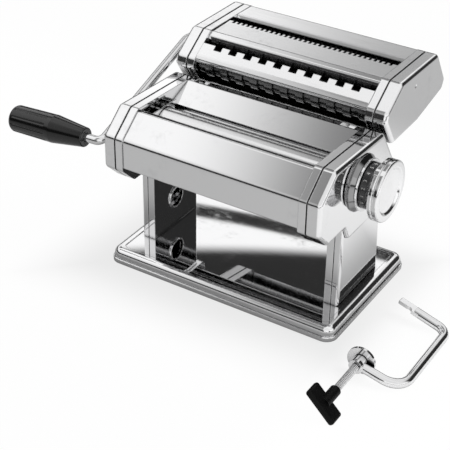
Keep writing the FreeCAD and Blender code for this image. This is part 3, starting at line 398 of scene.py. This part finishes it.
def steel(name, grey, smooth, smeared, along, across, line_strength, edge_radius=0.0003, wave=0.0,
          edge_shade_strength=0.0, reach=0.006, recess_shade_strength=0.9):
    """Bare steel: its grey, roughness clean and smeared, its lines, and how much painted shade darkens its
    edges and grooves.
    """
    material, tree, shader = new_finish(name)
    smear = place_group(tree, marks, Size=28.0)["Mask"]
    corner = place_group(tree, edges, Radius=edge_radius)
    line = place_group(tree, lines, Along_X=along, Across_X=across)["Height"]
    shaded_recess = place_group(tree, recess, Reach=reach)["Mask"]
    clean_tone = (grey, grey, grey * 1.006)
    tired_tone = (grey * 0.90, grey * 0.90, grey * 0.905)
    colour = blend_colour(tree, smear, clean_tone, tired_tone)
    # Painted shade: near edges and seams the steel's colour darkens toward near-black.
    if edge_shade_strength:
        edge_shade_share = calculate(tree, "MULTIPLY", corner["Mask"], edge_shade_strength)
        colour = blend_colour(tree, edge_shade_share, colour, edge_shade_black)
    # Painted shade: in grooves and slots the steel's colour darkens toward near-black.
    colour = blend_colour(tree, calculate(tree, "MULTIPLY", shaded_recess, recess_shade_strength), colour, recess_shade_black)
    plug(tree, colour, shader["Base Color"])
    shader["Metallic"].default_value = 1.0
    clean = ramp(tree, line, 0.2, 0.8, smooth * 0.8, smooth * 1.25)
    rough = calculate(tree, "ADD", clean, calculate(tree, "MULTIPLY", smear, smeared - smooth))
    plug(tree, rough, shader["Roughness"])
    normal = add_bump(tree, line, line_strength, line_depth, corner["Normal"])
    if wave:
        swell = noise(tree, own_place(tree), 16.0, 1.0)
        normal = add_bump(tree, swell, wave, swell_depth, normal)
    plug(tree, normal, shader["Normal"])
    return material


# Near-black colours for painted shade, along edges and in grooves and slots.
edge_shade_black = (0.02, 0.02, 0.02)
recess_shade_black = (0.015, 0.015, 0.015)
line_depth = 0.00002
swell_depth = 0.001
body_polish = steel("body_polish", 0.83, 0.05, 0.12, 18.0, 900.0, 0.08, edge_radius=0.0008, wave=0.02,
                    edge_shade_strength=0.3)
base_polish = steel("base_polish", 0.86, 0.02, 0.06, 18.0, 900.0, 0.02, edge_radius=0.0008, edge_shade_strength=0.3)
knob_polish = steel("knob_polish", 0.84, 0.05, 0.10, 900.0, 30.0, 0.06, edge_radius=0.0008)
rod_polish = steel("rod_polish", 0.80, 0.08, 0.18, 60.0, 700.0, 0.10)
cutter_satin = steel("cutter_satin", 0.84, 0.12, 0.20, 14.0, 1100.0, 0.10, edge_radius=0.0008, edge_shade_strength=0.3)
roller_ground = steel("roller_ground", 0.78, 0.16, 0.26, 2200.0, 25.0, 0.25)
boss_steel = steel("boss_steel", 0.30, 0.07, 0.14, 900.0, 30.0, 0.06, edge_radius=0.0005)
# Painted shade: the cutter rollers and combs get a near-black grey and a deep, strong recess shade, so the
# cutter opening reads dark.
shaded_cutter_steel = steel("shaded_cutter_steel", 0.16, 0.22, 0.34, 1600.0, 90.0, 0.3, edge_radius=0.0002, reach=0.014,
                     recess_shade_strength=0.97)
cut_steel = steel("cut_steel", 0.34, 0.24, 0.36, 1600.0, 90.0, 0.35, edge_radius=0.0002, reach=0.012,
                  recess_shade_strength=0.97)
print("materials with the steels", len(bpy.data.materials))


# %% [markdown]
# The bushes are sintered bronze, which is grainy and a little oily. The grip is glossy black plastic and
# the wing of the clamp is matte. The feet are rubber, and the dial band is black enamel with pale numbers.

# %% Bronze, plastics, rubber and paint
def moulded(name, colour, worn, rough, grain_size, grain_strength, coat=0.0, gloss=0.5):
    """A moulded or painted surface with grain, dust and rubbed edges."""
    material, tree, shader = new_finish(name)
    corner = place_group(tree, edges, Radius=0.0005)
    film = place_group(tree, dust, Size=260.0)["Mask"]
    smear = place_group(tree, marks, Size=45.0)["Mask"]
    rubbed = calculate(tree, "MULTIPLY", corner["Mask"], 0.6)
    pale = calculate(tree, "MAXIMUM", rubbed, calculate(tree, "MULTIPLY", film, 0.25))
    plug(tree, blend_colour(tree, pale, colour, worn), shader["Base Color"])
    plug(tree, ramp(tree, smear, 0.0, 1.0, rough, min(1.0, rough + 0.14)), shader["Roughness"])
    grain = noise(tree, own_place(tree), grain_size, 3.0)
    plug(tree, add_bump(tree, grain, grain_strength, grain_depth, corner["Normal"]), shader["Normal"])
    shader["Coat Weight"].default_value = coat
    shader["Coat Roughness"].default_value = coat_roughness
    shader["Specular IOR Level"].default_value = gloss
    return material


grain_depth = 0.00006
coat_roughness = 0.08
pore_depth = 0.00005
grip_gloss = moulded("grip_gloss", (0.003, 0.003, 0.003), (0.018, 0.018, 0.019), 0.20, 900.0, 0.12, coat=0.6,
                     gloss=0.3)
wing_matte = moulded("wing_matte", (0.0015, 0.0015, 0.0015), (0.012, 0.012, 0.012), 0.46, 1400.0, 0.35,
                     gloss=0.12)
dial_enamel = moulded("dial_enamel", (0.009, 0.009, 0.010), (0.06, 0.06, 0.06), 0.26, 700.0, 0.08, coat=0.4)
number_paint = moulded("number_paint", (0.48, 0.48, 0.47), (0.60, 0.60, 0.58), 0.42, 1200.0, 0.12)
foot_rubber = moulded("foot_rubber", (0.018, 0.018, 0.018), (0.05, 0.05, 0.05), 0.78, 1500.0, 0.5)
bush_bronze, tree, shader = new_finish("bush_bronze")
pores = ramp(tree, noise(tree, own_place(tree), 2600.0, 4.0, 0.7), 0.35, 0.65)
plug(tree, blend_colour(tree, pores, (0.30, 0.19, 0.09), (0.52, 0.36, 0.18)), shader["Base Color"])
shader["Metallic"].default_value = 1.0
plug(tree, ramp(tree, pores, 0.0, 1.0, 0.52, 0.30), shader["Roughness"])
plug(tree, add_bump(tree, pores, 0.25, pore_depth), shader["Normal"])
print("materials in all", len(bpy.data.materials))

# %% [markdown]
# Each solid gets the finish that its maker gave it. The lists follow how the machine is made: polished
# sheets outside, satin sheets on the cutter, ground rollers, cut gears and plain plated rods.

# %% Give the solids their finishes
finishes = {
    base_polish: ["base_plate"],
    body_polish: ["left_leg", "right_leg", "left_leg_cover", "right_leg_cover", "left_frame",
                  "right_frame", "left_cover", "right_cover", "front_plate", "hopper_plate", "back_plate",
                  "dough_guides"],
    knob_polish: ["knob_grip", "dial_ring", "crank_bush"],
    boss_steel: ["dial_boss"],
    rod_polish: ["crank_rod", "clamp_frame", "clamp_screw", "clamp_pad"],
    cutter_satin: ["cutter_left_plate", "cutter_right_plate", "cutter_left_cover", "cutter_right_cover",
                   "cutter_front_plate", "cutter_mid_plate", "cutter_back_plate", "cutter_mount_bar",
                   "body_rails"],
    roller_ground: ["driven_roller", "gap_roller", "roller_scrapers"],
    cut_steel: ["driven_gear", "gap_gear", "axle_gear", "eccentric_axle", "knob_spindle", "knob_spring",
                "index_pin", "tie_rods", "tie_nuts", "cutter_tie_rods", "wide_driver_gear", "wide_mate_gear",
                "fine_driver_gear", "fine_mate_gear"],
    shaded_cutter_steel: ["cutter_combs", "wide_driver_roller", "wide_mate_roller", "fine_driver_roller",
                   "fine_mate_roller"],
    grip_gloss: ["crank_grip"],
    wing_matte: ["wing_knob"],
    dial_enamel: ["dial_band"],
    foot_rubber: ["base_feet"],
    bush_bronze: ["roller_bushes", "axle_sleeves", "cutter_bushes"]}
dressed = []
for finish, names in finishes.items():
    for name in names:
        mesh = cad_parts[name].data
        mesh.materials.clear()
        mesh.materials.append(finish)
        dressed.append(name)
print("dressed", len(dressed), "left", sorted(set(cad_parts) - set(dressed)))


# %% [markdown]
# The dial band carries the numbers of its ten settings. Blender's own font gives each number as a flat
# mesh, which is then wrapped: its width runs round the band and its height along the axis, so the figures
# stand on the curve like the printed ones. A painted picture could show them too, but a mesh stays sharp
# from any distance.

# %% Dial numbers
def wrap_on_dial(mesh, middle_x, start_angle):
    """Bend a flat mesh round the dial; its up points to the machine."""
    for vertex in mesh.vertices:
        angle = start_angle - vertex.co.x / dial_radius
        out = dial_radius - number_sink + vertex.co.z
        vertex.co = (middle_x - vertex.co.y, dial_y + out * math.cos(angle), dial_z + out * math.sin(angle))


dial_low, dial_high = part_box("dial_band")
dial_y = (dial_low.y + dial_high.y) / 2
dial_z = (dial_low.z + dial_high.z) / 2
dial_radius = (dial_high.z - dial_low.z) / 2
number_height = 0.0027
number_sink = 0.00005
number_thickness = 0.0001
number_step = math.radians(19.0)
digit_share = 0.7
setting_count = 10
known_setting = 2
known_angle = math.radians(160.0)
for setting in range(setting_count):
    text = bpy.data.curves.new("number", "FONT")
    text.body = str(setting)
    text.size = number_height / digit_share
    text.align_x = "CENTER"
    text.align_y = "CENTER"
    text.extrude = number_thickness
    text.resolution_u = 6
    flat = bpy.data.objects.new("number", text)
    scene.collection.objects.link(flat)
    shape = bpy.data.meshes.new_from_object(flat.evaluated_get(bpy.context.evaluated_depsgraph_get()))
    bpy.data.objects.remove(flat)
    wrap_on_dial(shape, (dial_low.x + dial_high.x) / 2, known_angle + (known_setting - setting) * number_step)
    shape.materials.clear()
    shape.materials.append(number_paint)
    number = bpy.data.objects.new(f"dial_number_{setting}", shape)
    scene.collection.objects.link(number)
    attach(number, "knob")
print("dial radius", round(dial_radius * 1000, 2), "mm")


# %% [markdown]
# The clamp's screw is a plain rod in the solids. Here it gets its thread: a ring of points walks along the
# rod, and its radius rises and falls once for each pitch as the angle goes round, which makes one
# continuous helix. A Screw modifier could wind a profile too, but it would leave the ends open.

# %% Clamp thread
def ringed_piece(name, points, ring, finish):
    """A closed tube through rings of points, each ring with the same number of points."""
    rows = len(points) // ring - 1
    faces = []
    for row in range(rows):
        for step in range(ring):
            after = (step + 1) % ring
            here = row * ring
            beyond = here + ring
            faces.append((here + step, beyond + step, beyond + after, here + after))
    faces.append(tuple(range(ring)))
    faces.append(tuple(rows * ring + step for step in reversed(range(ring))))
    mesh = bpy.data.meshes.new(name)
    mesh.from_pydata(points, [], faces)
    mesh.shade_smooth()
    mesh.materials.append(finish)
    piece = bpy.data.objects.new(name, mesh)
    scene.collection.objects.link(piece)
    return piece


def threaded_rod(name, low, high, pitch, ring=40, rows_per_pitch=10):
    """A rod along Y with a rolled thread and tapered ends."""
    centre_x = (low.x + high.x) / 2
    centre_z = (low.z + high.z) / 2
    crest = (high.x - low.x) / 2
    root = crest - depth_share * pitch
    length = high.y - low.y
    rows = round(length / pitch * rows_per_pitch)
    points = []
    for row in range(rows + 1):
        along = length * row / rows
        fade = min(1.0, min(along, length - along) / pitch)
        for step in range(ring):
            turn = 2 * math.pi * step / ring
            wave = 0.5 + 0.5 * math.cos(2 * math.pi * along / pitch - turn)
            wave = min(1.0, max(0.0, 1.5 * wave - 0.25))
            radius = root + (crest - root) * wave * fade
            points.append((centre_x + radius * math.cos(turn), low.y + along,
                           centre_z + radius * math.sin(turn)))
    return ringed_piece(name, points, ring, rod_polish)


depth_share = 0.55
thread_pitch = 0.0015
thread = threaded_rod("clamp_thread", *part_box("clamp_screw"), thread_pitch)
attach(thread, "screw")
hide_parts("clamp_screw")
print("thread points", len(thread.data.vertices))


# %% [markdown]
# The spring inside the knob is pressed when the knob is pulled out.

# %% Knob spring
def coil_spring(name, low, high, wire_radius, pitch, steps=24, ring=10):
    """A round wire wound along X."""
    centre_y = (low.y + high.y) / 2
    centre_z = (low.z + high.z) / 2
    coil_radius = (high.z - low.z) / 2 - wire_radius
    run = high.x - low.x - 2 * wire_radius
    rows = round(run / pitch * steps)
    points = []
    for row in range(rows + 1):
        turn = 2 * math.pi * row / steps
        along = low.x + wire_radius + run * row / rows
        for step in range(ring):
            side = 2 * math.pi * step / ring
            out = coil_radius + wire_radius * math.cos(side)
            points.append((along + wire_radius * math.sin(side), centre_y + out * math.cos(turn),
                           centre_z + out * math.sin(turn)))
    return ringed_piece(name, points, ring, cut_steel)


spring_low, spring_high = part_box("knob_spring")
spring_wire_radius = 0.0006
spring_pitch = 0.0022
spring = coil_spring("knob_coil", spring_low, spring_high, spring_wire_radius, spring_pitch)
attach(spring, "adjuster")
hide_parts("knob_spring")
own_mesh(spring)
print("spring points", len(spring.data.vertices), "length", round(spring_high.x - spring_low.x, 5))
